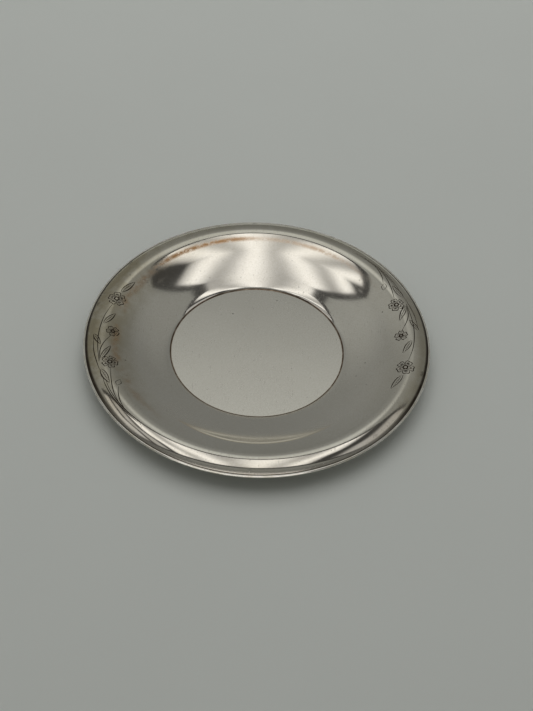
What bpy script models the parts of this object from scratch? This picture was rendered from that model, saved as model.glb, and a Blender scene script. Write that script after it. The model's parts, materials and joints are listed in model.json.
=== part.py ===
"""A round offering plate of silver-plated sheet metal, as solids.

The plate is three pieces: a dish spun from one disc of sheet, a round wire that stiffens and
finishes its edge, and the ring of hard solder that joins the two underneath. Nothing on it moves.

Units are metres and +Z is up. The origin is the middle of the flat underside, where the plate
stands. The dish, from its middle outwards, is a flat sunken well, a rounded step, a short straight
wall, a hollow cavetto, and a rounded shoulder that turns down to the edge. Every piece is turned
about +Z.
"""

import math

import bmesh
import bpy

# Driving dimensions
PLATE_RADIUS = 0.127
SHEET_THICKNESS = 0.0009
WIRE_RADIUS = 0.0010
WELL_RADIUS = 0.0642

# Slopes of the upper side, from the well's edge out to the rim, where one arc meets the next
STEP_FOOT_SLOPE = math.radians(45)
STEP_TOP_SLOPE = math.radians(22)
WALL_SLOPE = math.radians(17)
CAVETTO_HEAD_SLOPE = math.radians(28.2)
SHOULDER_INNER_SLOPE = math.radians(21)
SHOULDER_OUTER_SLOPE = math.radians(-38)

# Radii of those arcs, and the straight wall's width. The cavetto's own radius follows from the
# width that the others leave it.
STEP_RADIUS = 0.0080
BROW_RADIUS = 0.0400
WALL_RUN = 0.0060
EASE_RADIUS = 0.1100
SHOULDER_RADIUS = 0.0180

# Touching pieces keep this gap, so that their meshes never meet
GAP = 0.0003

# Solder ring: how far it reaches under the sheet and round the wire, and how thick it is
SOLDER_REACH = 0.0010
SOLDER_WRAP = math.radians(35)
SOLDER_THICKNESS = 0.00035

# How finely curves are cut
TURNS = 80
STEP_STEPS = 3
BROW_STEPS = 2
CAVETTO_STEPS = 6
EASE_STEPS = 2
SHOULDER_STEPS = 9
WIRE_SIDES = 12
WRAP_STEPS = 2

SILVER_PLATE = {"color": (0.80, 0.77, 0.72, 1.0), "roughness": 0.12, "metallic": 1.0}
SILVER_WIRE = {"color": (0.78, 0.75, 0.69, 1.0), "roughness": 0.14, "metallic": 1.0}
HARD_SOLDER = {"color": (0.47, 0.42, 0.36, 1.0), "roughness": 0.35, "metallic": 1.0}

# A piece is cut sharp where its faces turn by more than this
SHARP_ANGLE = math.radians(40)
WELD_DISTANCE = 1e-6


def direction(slope):
    """Unit vector (radius, height) that climbs outwards at this slope."""
    return math.cos(slope), math.sin(slope)


def upward(slope):
    """Unit vector square to that direction, on the upper side of the sheet."""
    return -math.sin(slope), math.cos(slope)


def moved(point, vector, distance):
    return point[0] + distance * vector[0], point[1] + distance * vector[1]


def arc(start, start_slope, end_slope, radius, steps):
    """Points along an arc that turns from one slope to another, each with its slope, start left out."""
    turn = math.copysign(1.0, end_slope - start_slope)
    centre = moved(start, upward(start_slope), turn * radius)
    points = []
    for i in range(1, steps + 1):
        slope = start_slope + (end_slope - start_slope) * i / steps
        points.append((moved(centre, upward(slope), -turn * radius), slope))
    return points


def run(start_slope, end_slope):
    """How far outwards an arc of radius 1 reaches as it turns from one slope to another."""
    return abs(math.sin(end_slope) - math.sin(start_slope))


def corner_radius():
    """How far out the sheet's upper corner lies, for the wire to end at the plate's radius."""
    wire_reach = (WIRE_RADIUS + GAP) * direction(SHOULDER_OUTER_SLOPE)[0]
    half_sheet = SHEET_THICKNESS / 2 * upward(SHOULDER_OUTER_SLOPE)[0]
    return PLATE_RADIUS - WIRE_RADIUS - wire_reach + half_sheet


def cavetto_radius():
    taken = STEP_RADIUS * run(STEP_FOOT_SLOPE, STEP_TOP_SLOPE)
    taken += BROW_RADIUS * run(STEP_TOP_SLOPE, WALL_SLOPE)
    taken += WALL_RUN
    taken += EASE_RADIUS * run(CAVETTO_HEAD_SLOPE, SHOULDER_INNER_SLOPE)
    taken += SHOULDER_RADIUS * run(SHOULDER_INNER_SLOPE, SHOULDER_OUTER_SLOPE)
    left = corner_radius() - WELL_RADIUS - taken
    return left / run(WALL_SLOPE, CAVETTO_HEAD_SLOPE)


def upper_surface():
    """The dish's upper side from the axis to its edge. Each corner is a point, the slope of the
    stretch that comes to it and the slope of the stretch that leaves it."""
    corners = [
        ((0.0, SHEET_THICKNESS), 0.0, 0.0),
        ((WELL_RADIUS, SHEET_THICKNESS), 0.0, STEP_FOOT_SLOPE),
    ]

    def add_arc(end_slope, radius, steps):
        start, _, start_slope = corners[-1]
        for point, slope in arc(start, start_slope, end_slope, radius, steps):
            corners.append((point, slope, slope))

    add_arc(STEP_TOP_SLOPE, STEP_RADIUS, STEP_STEPS)
    add_arc(WALL_SLOPE, BROW_RADIUS, BROW_STEPS)
    wall_end = moved(corners[-1][0], direction(WALL_SLOPE), WALL_RUN / math.cos(WALL_SLOPE))
    corners.append((wall_end, WALL_SLOPE, WALL_SLOPE))
    add_arc(CAVETTO_HEAD_SLOPE, cavetto_radius(), CAVETTO_STEPS)
    add_arc(SHOULDER_INNER_SLOPE, EASE_RADIUS, EASE_STEPS)
    add_arc(SHOULDER_OUTER_SLOPE, SHOULDER_RADIUS, SHOULDER_STEPS)
    return corners


def edge_middle():
    """The middle of the sheet's end face."""
    corner = upper_surface()[-1][0]
    return moved(corner, upward(SHOULDER_OUTER_SLOPE), -SHEET_THICKNESS / 2)


def wire_centre():
    """The middle of the wire's section, in line with the middle of the sheet."""
    return moved(edge_middle(), direction(SHOULDER_OUTER_SLOPE), WIRE_RADIUS + GAP)


def under_surface(upper):
    """The same surface one sheet thickness lower, square to it, and mitred at its corners."""
    lower = []
    for point, slope_in, slope_out in upper:
        depth = SHEET_THICKNESS / math.cos((slope_out - slope_in) / 2)
        lower.append(moved(point, upward((slope_in + slope_out) / 2), -depth))
    return lower


def turned(name, section, ring=False):
    """An object made by turning a section of (radius, height) points about +Z. The section runs
    from axis to axis, or all the way round a ring's own middle."""
    mesh = bpy.data.meshes.new(name)
    shape = bmesh.new()
    points = [shape.verts.new((radius, 0.0, height)) for radius, height in section]
    pairs = list(zip(points, points[1:]))
    if ring:
        pairs.append((points[-1], points[0]))
    edges = [shape.edges.new(pair) for pair in pairs]
    bmesh.ops.spin(
        shape,
        geom=points + edges,
        cent=(0.0, 0.0, 0.0),
        axis=(0.0, 0.0, 1.0),
        angle=math.tau,
        steps=TURNS,
    )
    bmesh.ops.remove_doubles(shape, verts=shape.verts, dist=WELD_DISTANCE)
    bmesh.ops.recalc_face_normals(shape, faces=shape.faces)
    shape.to_mesh(mesh)
    shape.free()
    return linked(name, mesh)


def linked(name, mesh):
    obj = bpy.data.objects.new(name, mesh)
    bpy.context.scene.collection.objects.link(obj)
    return obj


def finished(obj, material):
    """Gives the object its material and shades its round faces smooth."""
    obj.data.materials.append(material)
    obj.data.shade_smooth()
    obj.data.set_sharp_from_angle(angle=SHARP_ANGLE)
    return obj


def metal(name, look):
    material = bpy.data.materials.new(name)
    material.use_nodes = True
    shader = material.node_tree.nodes["Principled BSDF"]
    shader.inputs["Base Color"].default_value = look["color"]
    shader.inputs["Roughness"].default_value = look["roughness"]
    shader.inputs["Metallic"].default_value = look["metallic"]
    return material


def plate_body():
    """The spun dish: one sheet, its underside offset from its upper side."""
    upper = upper_surface()
    section = [corner[0] for corner in upper] + under_surface(upper)[::-1]
    return turned("plate_body", section)


def rim_wire():
    """The round wire that lies against the sheet's end face, all round the plate."""
    centre_r, centre_z = wire_centre()
    section = []
    for i in range(WIRE_SIDES):
        turn = math.tau * i / WIRE_SIDES
        section.append(
            (centre_r + WIRE_RADIUS * math.cos(turn), centre_z + WIRE_RADIUS * math.sin(turn))
        )
    return turned("rim_wire", section, ring=True)


def rim_solder():
    """The fillet of solder under the joint. It follows the underside of the sheet, then wraps
    round the lower inner side of the wire."""
    outward, up = direction(SHOULDER_OUTER_SLOPE), upward(SHOULDER_OUTER_SLOPE)
    under_corner = moved(edge_middle(), up, -SHEET_THICKNESS / 2 - GAP)
    centre = wire_centre()
    wrap_radius = WIRE_RADIUS + GAP
    level = SHEET_THICKNESS / 2 + GAP
    first_turn = math.asin(level / wrap_radius)

    def round_wire(turn, distance):
        along = moved(centre, outward, -distance * math.cos(turn))
        return moved(along, up, -distance * math.sin(turn))

    turns = [first_turn + SOLDER_WRAP * i / WRAP_STEPS for i in range(WRAP_STEPS + 1)]
    inner_side = [moved(under_corner, outward, -SOLDER_REACH)]
    inner_side += [round_wire(turn, wrap_radius) for turn in turns]
    outer_side = [round_wire(turn, wrap_radius + SOLDER_THICKNESS) for turn in turns[::-1]]
    return turned("rim_solder", inner_side + outer_side, ring=True)


def clear_scene():
    for obj in list(bpy.data.objects):
        bpy.data.objects.remove(obj)


def main():
    clear_scene()
    finished(plate_body(), metal("silver_plate", SILVER_PLATE))
    finished(rim_wire(), metal("silver_wire", SILVER_WIRE))
    finished(rim_solder(), metal("hard_solder", HARD_SOLDER))


main()
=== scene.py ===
"""Looks of a round offering plate of worn, lightly tarnished silver plate, with two engraved sprays.

The fine dish is turned from the same profile as the solid it stands for. Its two sprays are cut into
the mesh as shallow V grooves. Everything is in metres, in the part's own frame, with +Z up.
"""

import json
import math
from copy import copy

import bmesh
import bpy
import numpy as np
from mathutils import Matrix, Vector
from mathutils.geometry import delaunay_2d_cdt


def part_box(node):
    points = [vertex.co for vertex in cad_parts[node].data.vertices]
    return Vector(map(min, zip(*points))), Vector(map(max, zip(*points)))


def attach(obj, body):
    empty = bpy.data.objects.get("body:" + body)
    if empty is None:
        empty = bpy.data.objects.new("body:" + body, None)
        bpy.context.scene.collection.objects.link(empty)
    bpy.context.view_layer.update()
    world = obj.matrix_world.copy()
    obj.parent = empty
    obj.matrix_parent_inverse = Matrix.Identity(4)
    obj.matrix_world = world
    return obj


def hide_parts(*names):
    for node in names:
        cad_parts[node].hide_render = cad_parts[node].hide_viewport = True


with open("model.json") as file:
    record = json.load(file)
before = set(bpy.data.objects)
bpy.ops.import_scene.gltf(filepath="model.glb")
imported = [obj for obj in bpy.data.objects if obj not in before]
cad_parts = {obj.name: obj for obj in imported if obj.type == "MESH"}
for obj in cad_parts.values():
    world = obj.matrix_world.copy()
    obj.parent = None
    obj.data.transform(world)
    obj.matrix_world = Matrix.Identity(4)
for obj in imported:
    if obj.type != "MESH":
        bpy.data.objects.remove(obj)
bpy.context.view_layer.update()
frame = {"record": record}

# ---------------------------------------------------------------- sizes, from the frame
MM = 0.001
SHEET = next(m["pos_m"][2] for m in frame["record"]["mounts"] if m["name"] == "well_floor")
WIRE_LOW, WIRE_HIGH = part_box("rim_wire")
PLATE_RADIUS = WIRE_HIGH.x
WIRE_RADIUS = (WIRE_HIGH.z - WIRE_LOW.z) / 2
WIRE_MIDDLE = (PLATE_RADIUS - WIRE_RADIUS, (WIRE_HIGH.z + WIRE_LOW.z) / 2)
JOINT_GAP = 0.3 * MM

# The dish's profile: flat well, rounded step, straight wall, hollow cavetto, easing curve, shoulder
WELL_RADIUS = 64.2 * MM
STEP_FOOT_SLOPE = math.radians(45)
STEP_TOP_SLOPE = math.radians(22)
WALL_SLOPE = math.radians(17)
CAVETTO_HEAD_SLOPE = math.radians(28.2)
SHOULDER_INNER_SLOPE = math.radians(21)
SHOULDER_OUTER_SLOPE = math.radians(-38)
STEP_RADIUS = 8 * MM
BROW_RADIUS = 40 * MM
WALL_RUN = 6 * MM
EASE_RADIUS = 110 * MM
SHOULDER_RADIUS = 18 * MM

# The ring sector that holds the -X spray. The other spray's sector is half a turn round.
SPRAY_INNER = 99 * MM
SPRAY_OUTER = 122.3 * MM
SPRAY_ANGLES = (150, 236.25)

# How finely the meshes are cut
TURNS = 288
WELL_RINGS = 14
CUT_STEP = 0.9 * MM


# ---------------------------------------------------------------- the profile

def direction(slope):
    return np.array([math.cos(slope), math.sin(slope)])


def upward(slope):
    return np.array([-math.sin(slope), math.cos(slope)])


def arc(start, slopes, radius):
    """Points along an arc that starts at a point and takes each of these slopes in turn."""
    turn = math.copysign(1.0, slopes[-1] - slopes[0])
    centre = start + turn * radius * upward(slopes[0])
    return [centre - turn * radius * upward(slope) for slope in slopes]


def run(start_slope, end_slope):
    """How far outwards an arc of radius 1 reaches as it turns from one slope to another."""
    return abs(math.sin(end_slope) - math.sin(start_slope))


def sheet_corner_radius():
    """How far out the sheet's upper corner lies, beside the wire."""
    wire_reach = (WIRE_RADIUS + JOINT_GAP) * direction(SHOULDER_OUTER_SLOPE)[0]
    return WIRE_MIDDLE[0] - wire_reach + SHEET / 2 * upward(SHOULDER_OUTER_SLOPE)[0]


def cavetto_radius():
    """The cavetto takes the width that the other stretches leave it."""
    taken = STEP_RADIUS * run(STEP_FOOT_SLOPE, STEP_TOP_SLOPE)
    taken += BROW_RADIUS * run(STEP_TOP_SLOPE, WALL_SLOPE)
    taken += WALL_RUN
    taken += EASE_RADIUS * run(CAVETTO_HEAD_SLOPE, SHOULDER_INNER_SLOPE)
    taken += SHOULDER_RADIUS * run(SHOULDER_INNER_SLOPE, SHOULDER_OUTER_SLOPE)
    return (sheet_corner_radius() - WELL_RADIUS - taken) / run(WALL_SLOPE, CAVETTO_HEAD_SLOPE)


def dish_profile():
    """Radius, height and slope along the upper side, from the axis out to the sheet's edge. The
    corner round the well is softened by one ring just inside it."""
    well_edge = np.array([WELL_RADIUS, SHEET])
    soft = 0.12 * MM
    points = [np.array([share * WELL_RADIUS, SHEET]) for share in np.linspace(0, 0.995, WELL_RINGS)]
    points += [well_edge - soft * direction(0), well_edge]
    slopes = [0.0] * (WELL_RINGS + 1) + [STEP_FOOT_SLOPE]

    def add_arc(end_slope, radius, steps):
        along = np.linspace(slopes[-1], end_slope, steps + 1)
        points.extend(arc(points[-1], along, radius)[1:])
        slopes.extend(along[1:])

    add_arc(STEP_TOP_SLOPE, STEP_RADIUS, 10)
    add_arc(WALL_SLOPE, BROW_RADIUS, 6)
    points.append(points[-1] + WALL_RUN / math.cos(WALL_SLOPE) * direction(WALL_SLOPE))
    slopes.append(WALL_SLOPE)
    add_arc(CAVETTO_HEAD_SLOPE, cavetto_radius(), 20)
    add_arc(SHOULDER_INNER_SLOPE, EASE_RADIUS, 8)
    add_arc(SHOULDER_OUTER_SLOPE, SHOULDER_RADIUS, 22)
    return np.array(points), np.array(slopes)


PROFILE, SLOPES = dish_profile()


def surface(radius):
    """Height and slope of the upper side at these radii."""
    height = np.interp(radius, PROFILE[:, 0], PROFILE[:, 1])
    slope = np.interp(radius, PROFILE[:, 0], SLOPES)
    return height, slope


def surface_normals(xy):
    radius = np.maximum(np.hypot(xy[:, 0], xy[:, 1]), 1e-9)
    _, slope = surface(radius)
    outward = xy / radius[:, None]
    return np.column_stack([-np.sin(slope)[:, None] * outward, np.cos(slope)])


# ---------------------------------------------------------------- the engraved sprays

class Cut:
    """One engraved line: points in the spray's own flat plane, in mm, and its half width at each."""

    def __init__(self, points, width, taper=(0.0, 0.0)):
        self.points = resampled(points)
        share = np.linspace(0, 1, len(self.points))
        start, end = taper
        swell = np.sin(np.pi * share).clip(0) ** 0.45
        self.half = width / 2 * np.maximum(swell, np.where(share < 0.5, start, end))

    def turned_half(self):
        """The same cut, half a turn further round the plate."""
        other = copy(self)
        other.points = -self.points
        return other


def resampled(points, step=CUT_STEP / MM):
    """The same line with points at even distances, on a smooth curve through the ones given."""
    points = np.array(points, float)
    if len(points) > 2:
        points = smooth_curve(points)
    length = np.concatenate([[0], np.cumsum(np.linalg.norm(np.diff(points, axis=0), axis=1))])
    count = max(3, int(round(length[-1] / step)) + 1)
    at = np.linspace(0, length[-1], count)
    return np.column_stack([np.interp(at, length, points[:, k]) for k in (0, 1)])


def smooth_curve(points, steps=10):
    """A Catmull-Rom curve through the points."""
    padded = np.vstack([2 * points[0] - points[1], points, 2 * points[-1] - points[-2]])
    out = []
    for a, b, c, d in zip(padded, padded[1:], padded[2:], padded[3:]):
        for t in np.linspace(0, 1, steps, endpoint=False):
            square = (2 * a - 5 * b + 4 * c - d) * t**2
            cube = (3 * b - a - 3 * c + d) * t**3
            out.append(0.5 * (2 * b + (c - a) * t + square + cube))
    out.append(points[-1])
    return np.array(out)


def on_plate(radius, angle):
    """Where a radius in mm and an angle in degrees, counted from -X towards +Y, lie on the plate."""
    turn = math.radians(angle)
    return np.array([-radius * math.cos(turn), radius * math.sin(turn)])


def stem(route, width=0.74):
    """A stem through places on the plate, each a radius and an angle."""
    return Cut([on_plate(*place) for place in route], width, taper=(0.5, 0.15))


def leaf(base, tip, breadth, width=0.70, hatches=5):
    """An almond leaf from base to tip, with a midrib and short hatching on one side of it."""
    a, b = on_plate(*base), on_plate(*tip)
    along = b - a
    across = np.array([-along[1], along[0]]) / np.linalg.norm(along)

    def edge(side):
        bulge = side * breadth * across
        return [a + along * t + bulge * math.sin(math.pi * t**0.85) for t in np.linspace(0, 1, 7)]

    cuts = [Cut(edge(0.5), width), Cut(edge(-0.5), width * 1.25)]
    cuts.append(Cut([a + along * 0.1, a + along * 0.75], width * 0.6))
    for i in range(hatches):
        t = 0.28 + 0.46 * i / max(1, hatches - 1)
        root = a + along * t
        end = root + along * 0.09 + across * breadth * 0.33
        cuts.append(Cut([root, end], width * 0.55))
    return cuts


def flower(place, size, petals=5, spin=0.0, hatches=3):
    """A blossom: notched petals with hatching at their feet, round a ring-shaped eye."""
    middle = on_plate(*place)
    eye = 0.42 + 0.092 * size
    cuts = [Cut([middle + eye * direction(a) for a in np.linspace(0, math.tau, 13)], 1.15, (1, 1))]
    for i in range(petals):
        heading = math.radians(spin) + math.tau * i / petals
        cuts += petal(middle, heading, eye, size / 2, math.pi / petals, hatches)
    return cuts


def petal(middle, heading, foot, reach, spread, hatches):
    """One petal: an outline whose outer edge has a dip in the middle, and hatching from its foot."""

    def at(distance, turn):
        return middle + distance * direction(heading + turn)

    outline = [
        at(foot * 1.15, -spread * 0.55),
        at(reach * 0.66, -spread * 0.86),
        at(reach * 0.97, -spread * 0.52),
        at(reach * 0.88, 0.0),
        at(reach * 0.97, spread * 0.52),
        at(reach * 0.66, spread * 0.86),
        at(foot * 1.15, spread * 0.55),
    ]
    cuts = [Cut(outline, 0.74, (0.6, 0.6))]
    for i in range(hatches):
        turn = spread * 0.95 * ((i + 0.5) / hatches - 0.5)
        length = reach * (0.85 - 0.30 * abs(turn) / spread)
        cuts.append(Cut([at(foot * 1.5, turn), at(length, turn * 1.15)], 0.62))
    return cuts


def bud(place, heading, size):
    """A closed bud: a small pointed oval that stands on its stem."""
    middle = on_plate(*place)
    along = direction(math.radians(heading)) * size / 2
    across = np.array([-along[1], along[0]]) * 0.62

    def side(sign):
        return [middle - along, middle - along * 0.1 + sign * across, middle + along]

    return [Cut(side(1), 0.55, (0.5, 0.5)), Cut(side(-1), 0.55, (0.5, 0.5))]


def spray():
    """One spray of three blossoms, leaves and a bud on stems that run together towards its foot."""
    cuts = []
    cuts += flower((110.4, 14.2), 13.4, spin=20, hatches=4)
    cuts += flower((105.8, -2.8), 9.6, spin=52, hatches=2)
    cuts += flower((109.6, -19.2), 12.0, spin=5, hatches=4)
    cuts += bud((109.4, -30.0), 78, 6.4)
    cuts += leaf((110.4, 17.9), (106.6, 26.3), 3.6)
    cuts += leaf((113.2, 0.2), (106.6, 6.9), 3.4)
    cuts += leaf((119.4, -4.6), (114.0, -10.4), 3.0, hatches=3)
    cuts += leaf((115.9, -17.4), (106.8, -10.6), 3.3)
    cuts += leaf((117.4, -21.6), (115.4, -29.2), 3.8)
    cuts.append(stem([(111.6, 10.2), (113.9, 4.0), (115.4, -3.0), (116.2, -10.0), (117.2, -19.0)]))
    cuts.append(stem([(107.6, -5.9), (111.6, -9.2), (114.8, -13.0), (116.9, -18.4)]))
    cuts.append(stem([(119.2, -6.6), (119.3, -13.0), (118.3, -20.8), (117.6, -22.6)]))
    cuts.append(stem([(110.6, -22.7), (113.4, -28.0), (116.2, -33.6), (117.6, -38.4)]))
    cuts.append(stem([(111.4, -32.3), (113.8, -34.6), (116.2, -38.2), (117.4, -41.6)]))
    cuts.append(stem([(117.8, -24.6), (118.6, -29.0), (118.8, -35.0), (118.5, -42.0), (118.2, -50.0)], 0.76))
    cuts.append(stem([(116.9, -27.6), (117.6, -32.0), (117.7, -38.0), (117.3, -45.0), (116.9, -53.0)], 0.70))
    return cuts


# How steeply a groove's sides fall, how far round a cut distances to it are measured, and the
# distance that is given beyond that, in mm
GROOVE_SLOPE = 0.42
CUT_REACH = 1.5
FAR_AWAY = 99.0


def clearance(points, cuts):
    """How far each point is outside the nearest cut's edge, in mm, and negative inside a cut."""
    nearest = np.full(len(points), FAR_AWAY)
    for cut in cuts:
        inside = (points > cut.points.min(0) - CUT_REACH) & (points < cut.points.max(0) + CUT_REACH)
        near = np.where(inside.all(1))[0]
        if len(near) == 0:
            continue
        start, run = cut.points[:-1], np.diff(cut.points, axis=0)
        offset = points[near][:, None, :] - start[None]
        share = np.clip((offset * run).sum(-1) / (run**2).sum(-1), 0, 1)
        away = np.linalg.norm(offset - share[..., None] * run, axis=-1)
        half = cut.half[:-1] + share * np.diff(cut.half)
        nearest[near] = np.minimum(nearest[near], (away - half).min(1))
    return nearest


def cut_outline(cut):
    """The three lines of one cut, left edge, middle and right edge, as points and joining edges."""
    run = np.gradient(cut.points, axis=0)
    across = np.column_stack([-run[:, 1], run[:, 0]]) / np.linalg.norm(run, axis=1)[:, None]
    lines = [cut.points + side * cut.half[:, None] * across for side in (1, 0, -1)]
    count = len(cut.points)
    edges = []
    for k in range(3):
        edges += [(k * count + i, k * count + i + 1) for i in range(count - 1)]
    for end in (0, count - 1):
        edges += [(end, count + end), (count + end, 2 * count + end)]
    return np.vstack(lines), edges


# ---------------------------------------------------------------- the dish

class Shell:
    """A mesh in the making: points, faces, and the normal of every face corner."""

    def __init__(self):
        self.points = []
        self.faces = []
        self.normals = []
        self.depths = []

    def add_points(self, points, depths=None):
        first = len(self.points)
        self.points += [tuple(p) for p in points]
        self.depths += list(depths) if depths is not None else [0.0] * len(points)
        return first

    def add_face(self, corners, normals):
        self.faces.append(corners)
        self.normals += normals

    def made(self, name):
        mesh = bpy.data.meshes.new(name)
        mesh.from_pydata(self.points, [], self.faces)
        mesh.shade_smooth()
        mesh.normals_split_custom_set(self.normals)
        depth = mesh.attributes.new("engraving", "FLOAT", "POINT")
        depth.data.foreach_set("value", np.array(self.depths, np.float32))
        piece = bpy.data.objects.new(name, mesh)
        bpy.context.scene.collection.objects.link(piece)
        return piece


def turned_normal(column, slope, side):
    turn = math.tau * column / TURNS
    flat = -math.sin(slope) * side
    return (flat * math.cos(turn), flat * math.sin(turn), math.cos(slope) * side)


def add_rings(shell, profile):
    """One ring of points for each profile point off the axis. Returns where the first ring starts."""
    turns = np.arange(TURNS) * math.tau / TURNS
    first = len(shell.points)
    for radius, height in profile:
        ring = np.column_stack([radius * np.cos(turns), radius * np.sin(turns), np.full(TURNS, height)])
        shell.add_points(ring)
    return first


def add_bands(shell, first, slopes_out, slopes_in, side, is_skipped):
    """Faces between neighbouring rings, side 1 for the upper side and -1 for the under side."""
    for ring in range(len(slopes_out) - 1):
        for column in range(TURNS):
            if is_skipped(ring, column):
                continue
            after = (column + 1) % TURNS
            a, b = first + ring * TURNS + column, first + ring * TURNS + after
            c, d = b + TURNS, a + TURNS
            low = slopes_out[ring]
            high = slopes_in[ring + 1]
            corners = [(a, column, low), (d, column, high), (c, after, high), (b, after, low)]
            if side < 0:
                corners.reverse()
            shell.add_face(
                [corner[0] for corner in corners],
                [turned_normal(column, slope, side) for _, column, slope in corners],
            )


def add_cap(shell, first, height, side):
    """The fan of triangles between the axis and the first ring."""
    middle = shell.add_points([(0.0, 0.0, height)])
    for column in range(TURNS):
        after = (column + 1) % TURNS
        corners = [middle, first + column, first + after]
        if side < 0:
            corners.reverse()
        shell.add_face(corners, [(0.0, 0.0, float(side))] * 3)


def mitred(point, slope_in, slope_out):
    depth = SHEET / math.cos((slope_out - slope_in) / 2)
    return point - depth * upward((slope_in + slope_out) / 2)


def under_profile():
    """The underside: the upper side one sheet thickness lower, with the well's corner mitred. Each
    ring has the slope of the stretch that comes to it and the slope of the one that leaves it."""
    well_edge = np.array([WELL_RADIUS, SHEET])
    lower = [p - SHEET * upward(slope) for p, slope in zip(PROFILE, SLOPES)]
    beyond = WELL_RINGS + 2
    points = lower[1:WELL_RINGS] + [mitred(well_edge, 0.0, STEP_FOOT_SLOPE)] + lower[beyond:]
    flat, rest = [0.0] * (WELL_RINGS - 1), list(SLOPES[beyond:])
    return np.array(points), flat + [0.0] + rest, flat + [STEP_FOOT_SLOPE] + rest


class Sector:
    """A stretch of the upper side, between two rings and two columns, that holds one spray."""

    def __init__(self, start_angle, end_angle):
        radii = PROFILE[1:, 0]
        self.rings = (int(np.searchsorted(radii, SPRAY_INNER)), int(np.searchsorted(radii, SPRAY_OUTER)))
        self.columns = (round(start_angle / 360 * TURNS), round(end_angle / 360 * TURNS))

    def holds(self, ring, column):
        start, end = self.columns
        return self.rings[0] <= ring < self.rings[1] and (column - start) % TURNS < end - start

    def grid(self, first):
        """Indices of the ring points on the sector's outline, anticlockwise, and inside it."""
        (low, high), (start, end) = self.rings, self.columns

        def at(ring, column):
            return first + ring * TURNS + column % TURNS

        outline = [at(high, c) for c in range(start, end)]
        outline += [at(r, end) for r in range(high, low, -1)]
        outline += [at(low, c) for c in range(end, start, -1)]
        outline += [at(r, start) for r in range(low, high)]
        inside = [at(r, c) for r in range(low + 1, high) for c in range(start + 1, end)]
        return outline, inside


def engrave(shell, sector, first, cuts):
    """Fills a sector with triangles that follow the spray's cuts, and sinks the cuts' middles. The
    triangles also fill the space inside the inner ring, and some along the border are mere lines.
    Both kinds are left out."""
    outline, inside = sector.grid(first)
    place = np.array(shell.points)[:, :2] / MM
    free = clearance(place[inside], cuts) > CUT_STEP / MM / 3
    inside = [index for index, is_free in zip(inside, free) if is_free]
    known = outline + inside
    coords = [Vector(place[index]) for index in known]
    edges = []
    for cut in cuts:
        points, joins = cut_outline(cut)
        edges += [(a + len(coords), b + len(coords)) for a, b in joins]
        coords += [Vector(p) for p in points]
    border = list(range(len(outline)))
    whole_hull, merge_distance, flattest = 0, 1e-4, 1e-3
    made, _, triangles, origins, _, _ = delaunay_2d_cdt(
        coords, edges, [border], whole_hull, merge_distance, True
    )
    on_border = [any(source < len(outline) for source in sources) for sources in origins]
    inner_edge = PROFILE[1:][sector.rings[0]][0] / MM * math.cos(math.pi / TURNS)

    def fills_sector(triangle):
        a, b, c = (made[k] for k in triangle)
        joins_border = all(on_border[k] for k in triangle)
        is_line = abs((b - a).cross(c - a)) < flattest * (b - a).length
        return ((a + b + c) / 3).length > inner_edge and not (joins_border and is_line)

    add_engraved(shell, made, [t for t in triangles if fills_sector(t)], origins, known, cuts)


def add_engraved(shell, made, triangles, origins, known, cuts):
    xy = np.array([tuple(v) for v in made])
    depth = np.maximum(0.0, -clearance(xy, cuts)) * GROOVE_SLOPE * MM
    normals = surface_normals(xy * MM)
    radius = np.linalg.norm(xy, axis=1) * MM
    height, _ = surface(radius)
    points = np.column_stack([xy * MM, height]) - normals * depth[:, None]
    index = []
    for k, sources in enumerate(origins):
        shared = [known[source] for source in sources if source < len(known)]
        if shared:
            index.append(shared[0])
        else:
            index.append(shell.add_points([points[k]], [depth[k]]))
    shallow = 0.01 * MM
    for triangle in triangles:
        a, b, c = points[list(triangle)]
        flat = np.cross(b - a, c - a)
        corners = [index[k] for k in triangle]
        if len(set(corners)) < 3 or not np.linalg.norm(flat) > 0:
            continue
        if depth[list(triangle)].max() > shallow:
            shading = [tuple(flat / np.linalg.norm(flat))] * 3
        else:
            shading = [tuple(normals[k]) for k in triangle]
        shell.add_face(corners, shading)


def dish():
    """The spun dish, upper side, underside and edge, with both sprays cut into it."""
    shell = Shell()
    upper = add_rings(shell, PROFILE[1:])
    under_points, coming, leaving = under_profile()
    lower = add_rings(shell, under_points)
    start, end = SPRAY_ANGLES
    sectors = [Sector(start, end), Sector(start - 180, end - 180)]
    one = spray()
    sprays = [one, [cut.turned_half() for cut in one]]

    def is_engraved(ring, column):
        return any(sector.holds(ring, column) for sector in sectors)

    add_bands(shell, upper, SLOPES[1:], SLOPES[1:], 1, is_engraved)
    add_bands(shell, lower, leaving, coming, -1, lambda ring, column: False)
    add_cap(shell, upper, SHEET, 1)
    add_cap(shell, lower, 0.0, -1)
    add_edge(shell, upper + (len(PROFILE) - 2) * TURNS, lower + (len(under_points) - 1) * TURNS)
    for sector, cuts in zip(sectors, sprays):
        engrave(shell, sector, upper, cuts)
    return shell.made("dish")


def add_edge(shell, upper_ring, lower_ring):
    """The narrow face where the sheet ends, between its last upper and last under ring."""
    outward, height = direction(SHOULDER_OUTER_SLOPE)
    for column in range(TURNS):
        after = (column + 1) % TURNS
        corners = [lower_ring + column, lower_ring + after, upper_ring + after, upper_ring + column]
        turns = [math.tau * c / TURNS for c in (column, after, after, column)]
        normals = [(outward * math.cos(t), outward * math.sin(t), height) for t in turns]
        shell.add_face(corners, normals)


# ---------------------------------------------------------------- the wire and its solder

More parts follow.
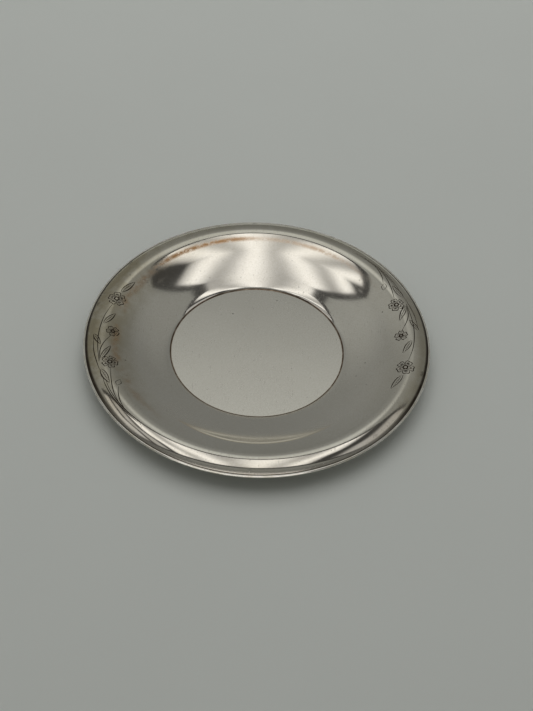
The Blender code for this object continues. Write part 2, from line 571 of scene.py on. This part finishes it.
def turned_ring(name, section):
    """A smooth ring made by turning a closed section of (radius, height) points about the axis."""
    shape = bmesh.new()
    points = [shape.verts.new((radius, 0.0, height)) for radius, height in section]
    edges = [shape.edges.new(pair) for pair in zip(points, points[1:] + points[:1])]
    bmesh.ops.spin(
        shape, geom=points + edges, cent=(0, 0, 0), axis=(0, 0, 1), angle=math.tau, steps=TURNS
    )
    bmesh.ops.remove_doubles(shape, verts=shape.verts, dist=1e-6)
    bmesh.ops.recalc_face_normals(shape, faces=shape.faces)
    mesh = bpy.data.meshes.new(name)
    shape.to_mesh(mesh)
    shape.free()
    mesh.shade_smooth()
    piece = bpy.data.objects.new(name, mesh)
    bpy.context.scene.collection.objects.link(piece)
    return piece


def edge_wire():
    """The round wire, whose section is turned once for each of its sides."""
    sides = 24
    turns = [math.tau * i / sides for i in range(sides)]
    middle = np.array(WIRE_MIDDLE)
    return turned_ring("edge_wire", [middle + WIRE_RADIUS * direction(turn) for turn in turns])


def solder_seam():
    """The solder: it fills the joint between sheet and wire almost to the top, and runs out into a
    hollow fillet underneath."""
    outward, up = direction(SHOULDER_OUTER_SLOPE), upward(SHOULDER_OUTER_SLOPE)
    middle = np.array(WIRE_MIDDLE)
    sheet_end = middle - (WIRE_RADIUS + JOINT_GAP) * outward
    sink = 0.55 * SHEET / 2
    skin = 0.02 * MM
    wire = WIRE_RADIUS - skin

    def on_wire(degrees):
        turn = math.radians(degrees)
        return middle + wire * (math.cos(turn) * outward + math.sin(turn) * up)

    first = 180 - math.degrees(math.asin(sink / wire))
    beside_wire = [on_wire(angle) for angle in np.linspace(first, 262, 9)]
    fillet_foot = sheet_end - 1.3 * MM * outward - (SHEET / 2 - skin) * up
    corner = sheet_end - (SHEET / 2 + 0.1 * MM) * up
    hollow = [bend(beside_wire[-1], corner, fillet_foot, t) for t in (0.25, 0.5, 0.75)]
    under_sheet = [fillet_foot, sheet_end - skin * outward - (SHEET / 2 - skin) * up]
    top = sheet_end - skin * outward + sink * up
    return turned_ring("solder_seam", beside_wire + hollow + under_sheet + [top])


def bend(start, pull, end, t):
    """A point on the curve from start to end that is drawn towards pull."""
    return (1 - t) ** 2 * start + 2 * t * (1 - t) * pull + t**2 * end


# ---------------------------------------------------------------- materials

class Graph:
    """Short forms for building the nodes of a material or of the world."""

    def __init__(self, tree):
        self.tree = tree

    def put(self, socket, value):
        if isinstance(value, bpy.types.NodeSocket):
            self.tree.links.new(value, socket)
        else:
            socket.default_value = value

    def node(self, kind, values, **settings):
        made = self.tree.nodes.new(kind)
        for name, value in settings.items():
            setattr(made, name, value)
        for name, value in values.items():
            self.put(made.inputs[name], value)
        return made

    def math(self, operation, a, b=0.0):
        return self.node("ShaderNodeMath", {0: a, 1: b}, operation=operation).outputs[0]

    def times(self, a, b):
        return self.math("MULTIPLY", a, b)

    def plus(self, a, b):
        return self.math("ADD", a, b)

    def most(self, *masks):
        total = masks[0]
        for mask in masks[1:]:
            total = self.math("MAXIMUM", total, mask)
        return total

    def noise(self, vector, scale, detail=3.0):
        values = {"Vector": vector, "Scale": scale, "Detail": detail, "Roughness": 0.55}
        return self.node("ShaderNodeTexNoise", values).outputs["Fac"]

    def spread(self, value, low, high, to_low=0.0, to_high=1.0):
        """Carries low..high over to to_low..to_high, with soft ends."""
        values = {0: value, 1: low, 2: high, 3: to_low, 4: to_high}
        return self.node("ShaderNodeMapRange", values, interpolation_type="SMOOTHSTEP").outputs[0]

    def band(self, value, middle, half_width, plateau=0.0):
        """1 in the middle of a band, falling smoothly to 0 at its sides."""
        away = self.math("ABSOLUTE", self.math("SUBTRACT", value, middle))
        return self.spread(away, half_width, plateau)

    def tinted(self, share, below, above):
        made = self.node("ShaderNodeMix", {"Factor": share}, data_type="RGBA")
        self.put(made.inputs[6], below)
        self.put(made.inputs[7], above)
        return made.outputs[2]

    def coordinates(self, output):
        """Position or direction as one vector, and its three numbers."""
        vector = self.node("ShaderNodeTexCoord", {}).outputs[output]
        return vector, self.node("ShaderNodeSeparateXYZ", {0: vector}).outputs

    def joined(self, x, y, z=0.0):
        return self.node("ShaderNodeCombineXYZ", {0: x, 1: y, 2: z}).outputs[0]


class Metal(Graph):
    """A metal's nodes, with the place on the plate that its marks depend on."""

    def __init__(self, name):
        self.material = bpy.data.materials.new(name)
        self.material.use_nodes = True
        super().__init__(self.material.node_tree)
        self.spot, self.axes = self.coordinates("Object")
        flat = self.joined(self.axes[0], self.axes[1])
        length = self.node("ShaderNodeVectorMath", {0: flat}, operation="LENGTH")
        self.radius = length.outputs["Value"]
        turn = self.math("ARCTAN2", self.axes[1], self.axes[0])
        self.turn = self.times(turn, math.degrees(1))

    def finished(self, color, roughness, relief, depth):
        """Joins the look up: relief is a height from 0 to about 1, and depth is what 1 stands for."""
        shader = self.tree.nodes["Principled BSDF"]
        bump = self.node("ShaderNodeBump", {"Height": relief, "Strength": 1.0, "Distance": depth})
        self.put(shader.inputs["Base Color"], color)
        self.put(shader.inputs["Metallic"], 1.0)
        self.put(shader.inputs["Roughness"], roughness)
        self.put(shader.inputs["Normal"], bump.outputs[0])
        return self.material

    def lathe_marks(self):
        """Fine marks that run round the plate, left by spinning and polishing."""
        rings = self.joined(
            self.times(self.axes[0], 14), self.times(self.axes[1], 14), self.times(self.radius, 2600)
        )
        return self.noise(rings, 1.0, detail=2.0)

    def hairlines(self, heading, scale, threshold):
        """Sparse fine scratches that all run one way."""
        values = {"Vector": self.spot, "Rotation": (0, 0, math.radians(heading)), "Scale": (1, 0.09, 1)}
        stretched = self.node("ShaderNodeMapping", values).outputs[0]
        return self.spread(self.noise(stretched, scale, detail=1.0), threshold, threshold + 0.05)

    def specks(self, scale, size, rarity):
        """Small round spots in a few of the cells of a net."""
        cell = self.node("ShaderNodeTexVoronoi", {"Vector": self.spot, "Scale": scale})
        dot = self.spread(cell.outputs["Distance"], size, size * 0.4)
        lot = self.node("ShaderNodeSeparateColor", {0: cell.outputs["Color"]}).outputs[0]
        return self.times(dot, self.spread(lot, rarity, rarity + 0.05))


# Radii that marks follow: where the cavetto meets the shoulder, and where the sheet meets the wire
SHOULDER_START = 104.8 * MM
WIRE_JOINT = 125.3 * MM

CLEAN_SILVER = (0.93, 0.90, 0.84, 1)
FILM = (0.53, 0.47, 0.34, 1)
DARK_SOLDER = (0.05, 0.035, 0.025, 1)
PALE_SOLDER = (0.20, 0.14, 0.09, 1)
BROWN_STAIN = (0.52, 0.29, 0.13, 1)
DARKEST_BROWN = (0.055, 0.042, 0.030, 1)


def dish_silver():
    """Polished plate with a brownish film outside, tarnish in its lines and wear in its well."""
    metal = Metal("worn_silver_plate")
    patches = metal.noise(metal.spot, 26)
    mottle = metal.noise(metal.spot, 170)
    depth = metal.node("ShaderNodeAttribute", {}, attribute_name="engraving").outputs["Fac"]
    cut = metal.spread(depth, 0.002 * MM, 0.030 * MM)
    front = metal.band(metal.turn, -90, 72, 30)
    film = tarnish_film(metal, patches, mottle, front)
    streak = stain_streak(metal, mottle)
    well_line = metal.band(metal.radius, WELL_RADIUS + 0.1 * MM, 0.85 * MM, 0.25 * MM)
    well_line = metal.times(well_line, metal.spread(mottle, 0.25, 0.55, 0.55))
    # Darker along the joint with the wire, less so at the front, with a few dark blots
    along_wire = darkening_along_wire(metal, mottle, front)
    outside = metal.spread(metal.radius, 98 * MM, 112 * MM, 0.0, 0.6)
    pitted = metal.times(metal.specks(520, 0.20, 0.80), outside)
    spots = metal.most(metal.specks(150, 0.12, 0.93), metal.specks(420, 0.17, 0.93), pitted)
    scratches = metal.most(
        metal.hairlines(20, 1100, 0.72),
        metal.hairlines(78, 1300, 0.73),
        metal.hairlines(141, 1200, 0.72),
    )
    color = metal.tinted(film, CLEAN_SILVER, FILM)
    color = metal.tinted(metal.most(streak, metal.times(well_line, 0.8)), color, BROWN_STAIN)
    grain = metal.spread(metal.noise(metal.spot, 900, detail=2.0), 0.35, 0.65)
    color = metal.tinted(metal.times(grain, 0.12), color, FILM)
    marks = metal.most(metal.times(spots, 0.7), metal.times(scratches, 0.15))
    dark = metal.most(cut, along_wire, marks, metal.times(well_line, 0.80))
    color = metal.tinted(dark, color, DARKEST_BROWN)
    hollow = metal.spread(metal.radius, 88 * MM, 99 * MM, 1.0, 0.0)
    polish = metal.times(hollow, metal.spread(front, 0.0, 1.0, 0.02, 0.08))
    worn_well = metal.spread(metal.radius, WELL_RADIUS + 0.3 * MM, WELL_RADIUS - 0.2 * MM, 0.0, 0.09)
    dull = metal.plus(metal.spread(patches, 0.3, 0.7, 0.045, 0.08), metal.plus(polish, worn_well))
    dull = metal.plus(dull, metal.times(film, 0.06))
    dull = metal.plus(dull, metal.times(metal.most(streak, cut, along_wire, spots), 0.28))
    dull = metal.plus(dull, metal.times(scratches, 0.12))
    relief = metal.times(metal.lathe_marks(), 0.40)
    relief = metal.plus(relief, metal.times(scratches, -0.35))
    relief = metal.plus(relief, metal.times(metal.noise(metal.spot, 60, detail=1.0), 7.0))
    return metal.finished(color, dull, relief, 0.0025 * MM)


def darkening_along_wire(metal, mottle, front):
    """Darker against the wire, unevenly and less so at the front, with a few dark blots."""
    line = metal.band(metal.radius, WIRE_JOINT, 2.4 * MM, 0.9 * MM)
    line = metal.times(line, metal.spread(mottle, 0.2, 0.5, 0.85))
    blots = metal.band(metal.radius, WIRE_JOINT - 2.1 * MM, 3.2 * MM)
    blots = metal.times(blots, metal.spread(metal.noise(metal.spot, 95), 0.58, 0.68, 0.0, 0.6))
    less_at_front = metal.spread(front, 0.0, 1.0, 1.0, 0.40)
    return metal.times(metal.most(line, blots), less_at_front)


def stain_streak(metal, mottle):
    """The brown line where the cavetto meets the shoulder, heaviest at the back left, and blotches
    of the same brown beside it on the -X side."""
    line = metal.band(metal.radius, SHOULDER_START, 2.8 * MM)
    heavy = metal.band(metal.turn, 118, 34, 12)
    faint = metal.times(metal.band(metal.turn, 70, 46), 0.5)
    fine = metal.noise(metal.spot, 620, detail=4.0)
    broken = metal.spread(metal.plus(metal.times(mottle, 0.6), metal.times(fine, 0.4)), 0.33, 0.55, 0.25)
    streak = metal.times(line, metal.most(heavy, faint))
    beside = metal.times(metal.band(metal.radius, SHOULDER_START - 1.3 * MM, 5.0 * MM), 0.58)
    left = metal.band(metal.math("ABSOLUTE", metal.turn), 180, 62, 20)
    blotched = metal.spread(metal.noise(metal.spot, 60), 0.38, 0.62)
    return metal.times(metal.most(streak, metal.times(metal.times(beside, left), blotched)), broken)


def tarnish_film(metal, patches, mottle, front):
    """A thin brownish film: strongest near the rim, more on the -X side, least at the front."""
    hollow = metal.spread(metal.radius, 65 * MM, 68 * MM, 0.0, 0.14)
    wall = metal.plus(hollow, metal.spread(metal.radius, 88 * MM, 108 * MM, 0.0, 0.14))
    rim = metal.spread(metal.radius, 112 * MM, 122 * MM, 0.0, 0.42)
    left = metal.band(metal.math("ABSOLUTE", metal.turn), 180, 75, 15)
    side = metal.times(metal.times(left, metal.spread(metal.radius, 86 * MM, 104 * MM)), 0.58)
    uneven = metal.plus(metal.times(patches, 0.6), metal.times(mottle, 0.4))
    share = metal.times(metal.plus(metal.plus(wall, rim), side), metal.spread(front, 0.0, 1.0, 1.0, 0.45))
    return metal.times(share, metal.spread(uneven, 0.30, 0.66, 0.45))


def wire_silver():
    """Rubbed bright along its outer side, and darker on its inner side, where it meets the sheet."""
    metal = Metal("worn_silver_wire")
    mottle = metal.noise(metal.spot, 150)
    inner = metal.spread(metal.radius, WIRE_JOINT + 0.6 * MM, WIRE_JOINT)
    # Darker on the wire's inner side, where it meets the sheet
    darker_inside = metal.times(inner, metal.spread(mottle, 0.25, 0.6, 0.6))
    color = metal.tinted(metal.spread(mottle, 0.35, 0.75, 0.0, 0.45), CLEAN_SILVER, FILM)
    color = metal.tinted(darker_inside, color, DARKEST_BROWN)
    roughness = metal.spread(mottle, 0.3, 0.7, 0.09, 0.18)
    return metal.finished(color, roughness, metal.noise(metal.spot, 300), 0.008 * MM)


def tarnished_solder():
    metal = Metal("tarnished_solder")
    mottle = metal.noise(metal.spot, 420, detail=5.0)
    color = metal.tinted(metal.spread(mottle, 0.3, 0.7), DARK_SOLDER, PALE_SOLDER)
    roughness = metal.spread(mottle, 0.3, 0.7, 0.35, 0.6)
    return metal.finished(color, roughness, mottle, 0.05 * MM)


# ---------------------------------------------------------------- floor, lights and camera

def flat_piece(name, corners, height):
    """A flat staged piece with this outline, counted anticlockwise from above."""
    mesh = bpy.data.meshes.new(name)
    mesh.from_pydata([(x, y, height) for x, y in corners], [], [range(len(corners))])
    piece = bpy.data.objects.new(name, mesh)
    bpy.context.scene.collection.objects.link(piece)
    return piece


FLOOR_HALF_WIDTH = 12.0
FLOOR_SHADES = ((0.770, 0.80, 0.772, 1), (0.80, 0.83, 0.802, 1))


def floor():
    """A pale matt table top, very slightly uneven in shade."""
    half = FLOOR_HALF_WIDTH
    piece = flat_piece("floor", [(-half, -half), (half, -half), (half, half), (-half, half)], 0.0)
    material = bpy.data.materials.new("pale_floor")
    material.use_nodes = True
    graph = Graph(material.node_tree)
    spot, _ = graph.coordinates("Object")
    shader = graph.tree.nodes["Principled BSDF"]
    shade = graph.tinted(graph.noise(spot, 6, detail=2.0), *FLOOR_SHADES)
    graph.put(shader.inputs["Base Color"], shade)
    graph.put(shader.inputs["Roughness"], 0.9)
    piece.data.materials.append(material)


PANEL_HEIGHT = 1.5
PANEL_FRONT = -0.46
PANEL_BACK = 0.57
PANEL_MIDDLE = -0.095
PANEL_HALF_WIDTH = 0.645
CARD_HALF_WIDTH = 1.9
CARD_MARGIN = 0.10
TUBE_SPACING = 0.34
TUBE_OFFSET = 0.05
PANEL_COLOR = (1.0, 0.985, 0.95, 1)
PANEL_DARKEST = 0.05

LAMP_PLACE = (0.14, 0.76, 2.0)
LAMP_WIDTH = 2.5
LAMP_POWER = 11.9

WALL_COLOR = (0.985, 1.0, 0.94, 1)
WINDOW_COLOR = (1.0, 0.98, 0.94, 1)
WINDOW_STRENGTH = 1.25
WINDOW_LEFT, WINDOW_RIGHT = -1.5, 0.9
WINDOW_LOW, WINDOW_HIGH = 0.35, 1.9
WINDOW_DISTANCE = 1.5

CAMERA_ELEVATION = math.radians(47.89)
CAMERA_TILT = math.radians(2.935)
CAMERA_DISTANCE = 0.7707
CAMERA_TARGET = (7.34 * MM, -5.45 * MM, SHEET)
CAMERA_LENS = 52.51


def overhead_panel():
    """A ceiling light: a panel with bright tubes, dark gaps beside it and dimmer panels beyond. Its
    pattern is drawn wider towards the back."""
    front, back = PANEL_FRONT - CARD_MARGIN, PANEL_BACK + CARD_MARGIN
    wide = CARD_HALF_WIDTH
    corners = [(-wide, front), (wide, front), (wide, back), (-wide, back)]
    piece = flat_piece("overhead_panel", corners, PANEL_HEIGHT)
    piece.visible_camera = False
    piece.visible_shadow = False
    material = bpy.data.materials.new("lit_panel")
    material.use_nodes = True
    material.node_tree.nodes.clear()
    graph = Graph(material.node_tree)
    _, (x, y, _) = graph.coordinates("Object")
    narrowing = graph.spread(y, -0.10, 0.15, 1.0, 0.86)
    x = graph.times(x, narrowing)
    turn = graph.times(graph.math("SUBTRACT", x, TUBE_OFFSET), math.tau / TUBE_SPACING)
    tubes = graph.times(graph.plus(graph.math("COSINE", turn), 1.0), 0.5)
    even = graph.spread(y, -0.10, PANEL_BACK, 0.50, 0.36)
    main = graph.plus(even, graph.times(tubes, graph.math("SUBTRACT", 1.0, even)))
    main = graph.times(main, graph.band(x, PANEL_MIDDLE, PANEL_HALF_WIDTH + 0.04, PANEL_HALF_WIDTH - 0.04))
    left = graph.times(graph.band(x, -0.97, 0.17, 0.08), 0.40)
    far_left = graph.spread(x, -1.18, -1.28, 0.0, 0.50)
    far_right = graph.spread(x, 0.74, 1.05, 0.0, 0.38)
    level = graph.most(main, left, far_left, far_right)
    level = graph.times(level, graph.spread(y, PANEL_BACK, PANEL_BACK - 0.03))
    level = graph.times(level, graph.spread(y, PANEL_FRONT, PANEL_FRONT + 0.05))
    shine(graph, PANEL_COLOR, graph.plus(level, PANEL_DARKEST))
    piece.data.materials.append(material)


def shine(graph, color, strength):
    """Makes the material a plain light of this color and strength."""
    light = graph.node("ShaderNodeEmission", {"Color": color, "Strength": strength})
    output = graph.node("ShaderNodeOutputMaterial", {})
    graph.put(output.inputs[0], light.outputs[0])


def floor_lamp():
    """A wide soft lamp behind and above the plate, which polished metal doesn't mirror."""
    data = bpy.data.lights.new("floor_lamp", "AREA")
    data.shape = "DISK"
    data.size = LAMP_WIDTH
    data.energy = LAMP_POWER
    lamp = bpy.data.objects.new("floor_lamp", data)
    lamp.location = LAMP_PLACE
    lamp.visible_glossy = False
    bpy.context.scene.collection.objects.link(lamp)


def surroundings():
    """Dim walls. They brighten with height, most of all behind the plate below the ceiling light,
    and are darkest low down in front."""
    world = bpy.data.worlds.new("surroundings")
    bpy.context.scene.world = world
    world.use_nodes = True
    graph = Graph(world.node_tree)
    _, (x, y, z) = graph.coordinates("Generated")
    aside = graph.math("ABSOLUTE", x)
    glow = graph.times(graph.spread(z, 0.69, 0.82), graph.spread(aside, 0.26, 0.12))
    wall = graph.times(graph.spread(z, 0.45, 0.78, 0.180, 0.245), graph.spread(x, 0.0, -0.45, 1.0, 1.25))
    back = graph.plus(wall, graph.times(glow, 0.28))
    front = graph.spread(z, 0.40, 0.75, 0.12, 0.21)
    is_back = graph.spread(y, -0.15, 0.10)
    level = graph.plus(graph.times(back, is_back), graph.times(front, graph.math("SUBTRACT", 1.0, is_back)))
    background = graph.tree.nodes["Background"]
    graph.put(background.inputs["Color"], WALL_COLOR)
    graph.put(background.inputs["Strength"], level)


def front_window():
    """A bright upright card in front, a little to the left, which only polished metal mirrors."""
    mesh = bpy.data.meshes.new("front_window")
    corners = [(x, -WINDOW_DISTANCE, WINDOW_LOW) for x in (WINDOW_LEFT, WINDOW_RIGHT)]
    corners += [(x, -WINDOW_DISTANCE, WINDOW_HIGH) for x in (WINDOW_RIGHT, WINDOW_LEFT)]
    mesh.from_pydata(corners, [], [range(4)])
    piece = bpy.data.objects.new("front_window", mesh)
    bpy.context.scene.collection.objects.link(piece)
    piece.visible_camera = False
    piece.visible_diffuse = False
    material = bpy.data.materials.new("window_light")
    material.use_nodes = True
    material.node_tree.nodes.clear()
    shine(Graph(material.node_tree), WINDOW_COLOR, WINDOW_STRENGTH)
    piece.data.materials.append(material)


def camera():
    """Looks down at the plate from the front, tilted a little to the side."""
    elevation, tilt = CAMERA_ELEVATION, CAMERA_TILT
    target = Vector(CAMERA_TARGET)
    forward = Vector((0, math.cos(elevation), -math.sin(elevation)))
    right = Vector((1, 0, 0))
    up = Vector((0, math.sin(elevation), math.cos(elevation)))
    image_right = right * math.cos(tilt) + up * math.sin(tilt)
    image_up = up * math.cos(tilt) - right * math.sin(tilt)
    data = bpy.data.cameras.new("camera")
    data.sensor_fit = "VERTICAL"
    data.sensor_height = 36
    data.lens = CAMERA_LENS
    eye = bpy.data.objects.new("camera", data)
    axes = Matrix((image_right, image_up, -forward)).transposed()
    eye.matrix_world = Matrix.Translation(target - forward * CAMERA_DISTANCE) @ axes.to_4x4()
    bpy.context.scene.collection.objects.link(eye)
    bpy.context.scene.camera = eye


# ---------------------------------------------------------------- put together

def place_piece(piece, material, node):
    piece.data.materials.append(material)
    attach(piece, "root")
    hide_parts(node)


place_piece(dish(), dish_silver(), "plate_body")
place_piece(edge_wire(), wire_silver(), "rim_wire")
place_piece(solder_seam(), tarnished_solder(), "rim_solder")
floor()
overhead_panel()
floor_lamp()
front_window()
surroundings()
camera()
bpy.context.scene.view_settings.view_transform = "Standard"
